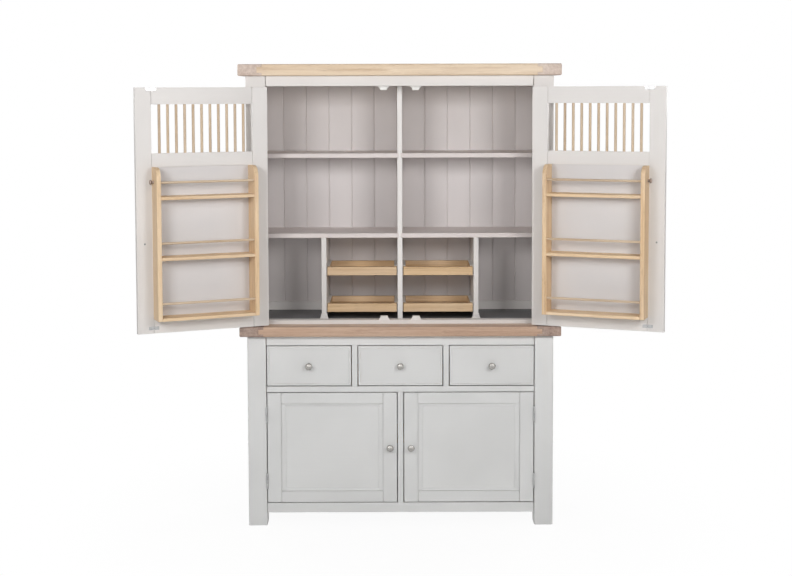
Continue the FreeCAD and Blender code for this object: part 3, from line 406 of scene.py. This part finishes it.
def metal_look(name, bright, dull, roughness, scratch_scales):
    """Satin metal: fine drawn scratches and a dull bloom."""
    look = Look(name, Metallic=1.0)
    grain = look.grain()
    scratch = look.noise(grain, scratch_scales, SCRATCH_DETAIL, SCRATCH_ROUGHNESS)
    bloom = look.noise(grain, *METAL_BLOOM_NOISE)
    dulled = look.mix(look.spread(bloom, *METAL_BLOOM_SPAN), linear(bright), linear(dull))
    look.colour(look.mix(look.spread(scratch, *METAL_SCRATCH_SPAN), dulled, linear(dull)))
    look.roughness(bloom, *(roughness + step for step in METAL_ROUGHNESS_STEPS))
    look.bump(scratch, *METAL_BUMP)
    return look.material


def plastic_look(name):
    """White moulded plastic with a fine spark texture."""
    look = Look(name, IOR=PLASTIC_IOR)
    grain = look.grain()
    spark = look.noise(grain, *PLASTIC_SPARK_NOISE)
    cloud = look.noise(grain, *PLASTIC_CLOUD_NOISE)
    base = look.mix(look.spread(cloud, *PLASTIC_CLOUD_SPAN), linear(PLASTIC), linear(PLASTIC_DULL))
    edge = look.math("MULTIPLY", look.wear(), PLASTIC_EDGE_SHARE)
    look.colour(look.mix(edge, base, linear(PLASTIC_DULL)))
    look.roughness(cloud, *PLASTIC_ROUGHNESS)
    look.bump(spark, *PLASTIC_BUMP)
    return look.material


LOOKS = {name: paint_look(name, colour) for name, colour in PAINTS.items()}
LOOKS.update({name: oak_look(name, *row) for name, row in OAKS.items()})
LOOKS.update({name: metal_look(name, *row) for name, row in METALS.items()})
LOOKS["slate_paint"] = slate_look("slate_paint")
LOOKS["white_plastic"] = plastic_look("white_plastic")


def solid_finish(node, centre, rod):
    """The name of the finish that one solid of a node has."""
    slot = slot_of[node]
    if node == "breadboard_ends" and centre.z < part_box("hutch_floor")[1][2]:
        return LOW_END_FINISH
    if rod and slot == "oak":
        return OAK_ROD_FINISH
    finishes = [finish for word, finish in WORD_FINISHES.items() if word in node]
    return finishes[0] if finishes else SLOT_FINISHES.get(slot, slot)


def solid_ease(node):
    eases = [ease for word, ease in WORD_EASES.items() if word in node]
    return eases[0] if eases else SLOT_EASES.get(slot_of[node], OTHER_EASE)


# Dressed solids: each CAD solid again with whole faces, eased edges and its own grain

def solids_in(node):
    """The faces of each solid in a CAD node, as corner points. A solid ends where its faces close."""
    mesh = frame["nodes"][node].data
    solids = []
    faces = []
    open_edges = set()
    for polygon in mesh.polygons:
        corners = [tuple(round(c, WELD_DIGITS) for c in mesh.vertices[i].co) for i in polygon.vertices]
        faces.append(corners)
        open_edges ^= {frozenset(edge) for edge in zip(corners, corners[1:] + corners[:1])}
        if not open_edges:
            solids.append(faces)
            faces = []
    return solids


def welded(faces):
    """One solid as a closed mesh whose flat faces are whole."""
    bm = bmesh.new()
    points = {}
    for corners in faces:
        for corner in corners:
            if corner not in points:
                points[corner] = bm.verts.new(corner)
        bm.faces.new([points[corner] for corner in corners])
    bmesh.ops.recalc_face_normals(bm, faces=bm.faces)
    bmesh.ops.dissolve_limit(bm, angle_limit=math.radians(FLAT_DEG), verts=bm.verts, edges=bm.edges)
    bm.normal_update()
    return bm


def middle_of(points):
    return sum(points, Vector()) / len(points)


def random_place(rng):
    """A start for a piece's grain, so that no two pieces have the same figure."""
    return Vector([rng.uniform(-GRAIN_OFFSET, GRAIN_OFFSET) for _ in range(3)])


def sharp_edges(bm):
    limit = math.radians(SHARP_DEG)
    return [e for e in bm.edges if len(e.link_faces) == 2 and e.calc_face_angle(0) > limit]


def grain_axes(bm):
    """The directions along, across and through a solid, from its longest edges."""
    edges = sorted(sharp_edges(bm), key=lambda e: e.calc_length(), reverse=True)
    spans = [(e.verts[1].co - e.verts[0].co).normalized() for e in edges]
    along = spans[0]
    crossing = [s for s in spans if abs(s.dot(along)) < CROSSING_COS]
    across = (crossing[0] - along * crossing[0].dot(along)).normalized()
    return along, across, along.cross(across)


def is_rod(bm):
    """Whether a solid is a dowel or pin: a prism with equal sides."""
    ends = [f for f in bm.faces if len(f.verts) == ROD_SIDES]
    if len(bm.faces) != ROD_SIDES + 2 or len(ends) != 2:
        return False
    sides = [e.calc_length() for e in ends[0].edges]
    return max(sides) < min(sides) * ROD_SIDE_TOLERANCE


def shoulders(bm, along):
    """The faces square to a rail that lie short of its ends."""
    spans = [v.co.dot(along) for v in bm.verts]
    low, high = min(spans) + JOINT_GAP, max(spans) - JOINT_GAP
    square = [f for f in bm.faces if abs(f.normal.dot(along)) > SQUARE_COS]
    return [f for f in square if low < f.verts[0].co.dot(along) < high]


def broadest(bm, faces_that):
    return max((f for f in bm.faces if faces_that(f.normal)), key=lambda f: f.calc_area())


def open_joints(bm, axes, node):
    """Draws back a rail's shoulders, and a moulding's outer side, by a hairline that shows as a joint."""
    along, _, through = axes
    drawn = []
    if "door_frame" in node:
        drawn = shoulders(bm, along)
    elif "door_panel" in node and len(bm.faces) == MOULDING_FACES:
        drawn = [broadest(bm, lambda normal: abs(normal.dot(through)) > SQUARE_COS)]
    moves = {vert: face.normal * JOINT_GAP for face in drawn for vert in face.verts}
    for vert, move in moves.items():
        vert.co -= move
    bm.normal_update()


def ease_edges(bm, ease, rod):
    """Rounds a solid's sharp edges, and a many-sided rod's long ones until it is round."""
    wear = bm.faces.layers.float.new("wear")
    edges = sharp_edges(bm)
    if rod:
        ease = min(e.calc_length() for e in edges) * ROD_EASE_SHARE
        edges = [e for e in edges if e.calc_face_angle() < math.radians(ROD_RIM_DEG)]
    made = bmesh.ops.bevel(
        bm, geom=edges, offset=ease, offset_type="OFFSET", segments=EASE_SEGMENTS, profile=EASE_PROFILE,
        affect="EDGES", clamp_overlap=True,
    )
    for face in made["faces"]:
        face[wear] = 1.0


def mesh_from(bm, name):
    mesh = bpy.data.meshes.new(name)
    bm.to_mesh(mesh)
    bm.free()
    return mesh


def dressed_solid(faces, node, turned, rng):
    """One CAD solid with eased edges, shaded by angle, and its grain and tone as attributes."""
    bm = welded(faces)
    rod = is_rod(bm)
    axes = grain_axes(bm)
    open_joints(bm, axes, node)
    centre = middle_of([v.co for v in bm.verts])
    if turned:
        bm.faces.layers.float.new("wear")
    else:
        ease_edges(bm, solid_ease(node), rod)
    grain = bm.verts.layers.float_vector.new("grain")
    tone = bm.faces.layers.float.new("tone")
    start = random_place(rng)
    own_tone = rng.uniform(-1, 1)
    for vert in bm.verts:
        vert[grain] = start + Vector([(vert.co - centre).dot(axis) for axis in axes])
    for face in bm.faces:
        face[tone] = own_tone
        face.smooth = True
    for edge in bm.edges:
        edge.smooth = turned or edge.calc_face_angle(0) < math.radians(SMOOTH_DEG)
    return mesh_from(bm, "solid"), centre, rod


def joined(name, meshes):
    """Several meshes as one, with their attributes and material indices."""
    bm = bmesh.new()
    for mesh in meshes:
        bm.from_mesh(mesh)
        bpy.data.meshes.remove(mesh)
    return mesh_from(bm, name)


def add_piece(name, mesh, body, finishes):
    piece = bpy.data.objects.new(name, mesh)
    bpy.context.scene.collection.objects.link(piece)
    for finish in finishes:
        mesh.materials.append(LOOKS[finish])
    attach(piece, body)
    return piece


def dress(node):
    """Stands an eased and grained copy of a CAD node in its place."""
    turned = any(word in node for word in TURNED_WORDS)
    rng = random.Random(node)
    meshes = []
    finishes = []
    for faces in solids_in(node):
        mesh, centre, rod = dressed_solid(faces, node, turned, rng)
        finish = solid_finish(node, centre, rod)
        if finish not in finishes:
            finishes.append(finish)
        for polygon in mesh.polygons:
            polygon.material_index = finishes.index(finish)
        meshes.append(mesh)
    piece = add_piece("dressed_" + node, joined(node, meshes), body_of[node], finishes)
    if turned:
        rounding = piece.modifiers.new("rounding", "SUBSURF")
        rounding.levels = TURNED_LEVELS
        rounding.render_levels = TURNED_LEVELS
    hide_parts(node)


for node in sorted(frame["nodes"]):
    dress(node)


# Screws behind the knobs, in the strike plates and in the hinge leaves

def screw_outline(radius):
    """The corners of a cross recess, in order round the head."""
    arm, slim = (radius * share for share in SCREW_RECESS_SHARES)
    corners = []
    for degrees in SCREW_TURNS_DEG:
        turn = Matrix.Rotation(math.radians(degrees), 2)
        corners += [turn @ Vector(corner) for corner in ((arm, slim), (slim, slim), (slim, arm))]
    return corners


def add_screw_head(bm, seat, out, radius, rise, rng):
    """A round head with a cross recess, standing out from its seat."""
    grain = bm.verts.layers.float_vector["grain"]
    across = UP.cross(out)
    up = out.cross(across)
    start = random_place(rng)
    cross = screw_outline(radius)
    rim = [corner.normalized() * radius for corner in cross]
    crown = [corner * SCREW_CROWN_SHARE for corner in rim]
    levels = (
        (rim, -SCREW_SEAT), (rim, rise * SCREW_SIDE_SHARE), (crown, rise),
        (cross, rise), (cross, rise * SCREW_FLOOR_SHARE),
    )
    rings = []
    for outline, height in levels:
        ring = []
        for x, y in outline:
            vert = bm.verts.new(seat + across * x + up * y + out * height)
            vert[grain] = start + Vector((x, y, height))
            ring.append(vert)
        rings.append(ring)
    # The recess walls and floor take the second material, the painted shade in the recess
    for level, (lower, upper) in enumerate(zip(rings, rings[1:])):
        for index in range(len(lower)):
            face = bm.faces.new((lower[index - 1], lower[index], upper[index], upper[index - 1]))
            face.material_index = int(level == len(rings) - 2)
    bm.faces.new(rings[0][::-1])
    bm.faces.new(rings[-1]).material_index = 1


def add_screws(name, body, seats):
    """One piece with a body's screws, from rows of seat, direction, radius and rise."""
    rng = random.Random(name)
    bm = bmesh.new()
    bm.verts.layers.float_vector.new("grain")
    for row in seats:
        add_screw_head(bm, *row, rng)
    add_piece(name, mesh_from(bm, name), body, ["steel", "screw_recess"])


def rest_turn(body):
    """How a body is turned at rest from its closed place."""
    for joint in frame["joints"]:
        if joint["child"] == body and joint["type"] == "hinge":
            return Matrix.Rotation(-math.radians(joint["range_deg"][0]), 3, Vector(joint["axis"]))
    return Matrix.Identity(3)


def corner_points(faces):
    return [Vector(corner) for corner in sorted({corner for corners in faces for corner in corners})]


def node_points(node):
    return [point for faces in solids_in(node) for point in corner_points(faces)]


def seat_over(points, host_points, out):
    """The middle of some points, carried along a direction to the outermost of the host's."""
    middle = middle_of(points)
    return middle + out * (max(p.dot(out) for p in host_points) - middle.dot(out))


def leaf_seats(node, facing):
    """Three screws on the broad face of each hinge leaf, which faces a direction set by its place."""
    seats = []
    for faces in solids_in(node):
        bm = welded(faces)
        out = facing(middle_of([v.co for v in bm.verts]))
        across = UP.cross(out)
        broad = broadest(bm, lambda normal: normal.dot(out) > SQUARE_COS)
        corners = [v.co.copy() for v in broad.verts]
        bm.free()
        low, high = (pick(c.z for c in corners) for pick in (min, max))
        near, far = (pick(c.dot(across) for c in corners) for pick in (min, max))
        level = corners[0].dot(out)
        for up_share, across_share in HINGE_SCREW_SHARES:
            place = across * (near + (far - near) * across_share) + out * level
            place.z = low + (high - low) * up_share
            seats.append((place, out) + FLUSH_SCREW)
    return seats


def door_seats(door):
    """A door's knob screw, and the screws of its strike plates and hinge leaves."""
    turn = rest_turn(door)
    inner = turn @ BACKWARD
    hinge_side = turn @ Vector((-1 if door.startswith("left") else 1, 0, 0))
    knob = seat_over(node_points(door + "_knob"), node_points(door + "_frame"), inner)
    seats = [(knob, inner) + KNOB_SCREW]
    if door + "_strikes" in frame["nodes"]:
        for faces in solids_in(door + "_strikes"):
            plate = corner_points(faces)
            seats.append((seat_over(plate, plate, inner), inner) + FLUSH_SCREW)
    return seats + leaf_seats(door + "_hinge_leaves", lambda middle: hinge_side)


def drawer_seats(drawer):
    knob = seat_over(node_points(drawer + "_knob"), node_points(drawer + "_front"), BACKWARD)
    return [(knob, BACKWARD) + KNOB_SCREW]


def toward_middle(place):
    return Vector((-math.copysign(1, place.x), 0, 0))


for screwed in sorted(record["behaviour"]["bodies"]):
    if screwed.endswith("_door"):
        add_screws(screwed + "_screws", screwed, door_seats(screwed))
    elif screwed.endswith("_drawer"):
        add_screws(screwed + "_screw", screwed, drawer_seats(screwed))
frame_leaf_seats = leaf_seats("frame_hinge_leaves", toward_middle)
add_screws("frame_hinge_screws", body_of["frame_hinge_leaves"], frame_leaf_seats)


# Floor, room and lamps

def view_share(tree):
    """1 for what the camera sees, straight or in gloss and glass, and 0 for light that bounces."""
    path = tree.nodes.new("ShaderNodeLightPath")
    share = path.outputs["Is Camera Ray"]
    for ray in ("Is Glossy Ray", "Is Transmission Ray"):
        larger = tree.nodes.new("ShaderNodeMath")
        larger.operation = "MAXIMUM"
        tree.links.new(share, larger.inputs[0])
        tree.links.new(path.outputs[ray], larger.inputs[1])
        share = larger.outputs[0]
    return share


def floor_material():
    """A pale floor that keeps the shadow by the object and fades to white away from it."""
    look = Look("floor", Roughness=FLOOR_ROUGHNESS)
    place = look.node("ShaderNodeTexCoord", {}).outputs["Object"]
    distance = look.vector_math("LENGTH", place).outputs["Value"]
    near = look.spread(distance, *FLOOR_FADE, FLOOR_SHADOW_SHARE, 0.0)
    plain = FLOOR_COLOUR + (1,)
    pale = tuple(c * FLOOR_MOTTLE_GAIN for c in FLOOR_COLOUR) + (1,)
    look.colour(look.mix(look.noise(place, *FLOOR_MOTTLE_NOISE), plain, pale))
    white = look.node("ShaderNodeEmission", {"Color": WHITE, "Strength": 1.0}).outputs[0]
    share = look.math("MULTIPLY", view_share(look.tree), look.math("SUBTRACT", 1.0, near))
    mixed = look.node("ShaderNodeMixShader", {0: share, 1: look.shader.outputs[0], 2: white}).outputs[0]
    look.feed(look.tree.nodes["Material Output"].inputs["Surface"], mixed)
    return look.material


def add_floor():
    mesh = bpy.data.meshes.new("floor")
    half = FLOOR_HALF_SIZE
    corners = [(-half, -half, 0), (half, -half, 0), (half, half, 0), (-half, half, 0)]
    mesh.from_pydata(corners, [], [(0, 1, 2, 3)])
    mesh.materials.append(floor_material())
    floor = bpy.data.objects.new("floor", mesh)
    bpy.context.scene.collection.objects.link(floor)


def light_room():
    """A world that is white to look at and lights the object faintly."""
    world = bpy.data.worlds.new("room")
    world.use_nodes = True
    tree = world.node_tree
    background = tree.nodes["Background"]
    background.inputs["Color"].default_value = WHITE
    strength = tree.nodes.new("ShaderNodeMapRange")
    tree.links.new(view_share(tree), strength.inputs["Value"])
    strength.inputs["To Min"].default_value = ROOM_STRENGTH
    strength.inputs["To Max"].default_value = 1.0
    tree.links.new(strength.outputs["Result"], background.inputs["Strength"])
    bpy.context.scene.world = world


def add_lamp(name, place, watts):
    light = bpy.data.lights.new(name, "AREA")
    light.shape = "RECTANGLE"
    light.size, light.size_y = LAMP_SIZE
    light.energy = watts
    lamp = bpy.data.objects.new(name, light)
    lamp.location = place
    lamp.rotation_euler = (Vector(LAMP_AIM) - Vector(place)).to_track_quat("-Z", "Y").to_euler()
    bpy.context.scene.collection.objects.link(lamp)


add_floor()
light_room()
for lamp_name, (lamp_place, lamp_watts) in LAMPS.items():
    add_lamp(lamp_name, lamp_place, lamp_watts)


# Camera

def add_camera():
    data = bpy.data.cameras.new("camera")
    data.sensor_width = SENSOR_WIDTH_MM
    data.lens = FOCAL_PX / IMAGE_WIDTH * SENSOR_WIDTH_MM
    data.shift_y = PRINCIPAL_DROP_PX / IMAGE_WIDTH
    camera = bpy.data.objects.new("camera", data)
    turn = Matrix.Rotation(math.radians(CAMERA_YAW_DEG), 4, "Z")
    tilt = Matrix.Rotation(math.radians(LEVEL_DEG + CAMERA_PITCH_DEG), 4, "X")
    roll = Matrix.Rotation(math.radians(CAMERA_ROLL_DEG), 4, "Z")
    camera.matrix_world = Matrix.Translation(CAMERA_PLACE) @ turn @ tilt @ roll
    bpy.context.scene.collection.objects.link(camera)
    bpy.context.scene.camera = camera


add_camera()
bpy.context.scene.view_settings.view_transform = "Standard"
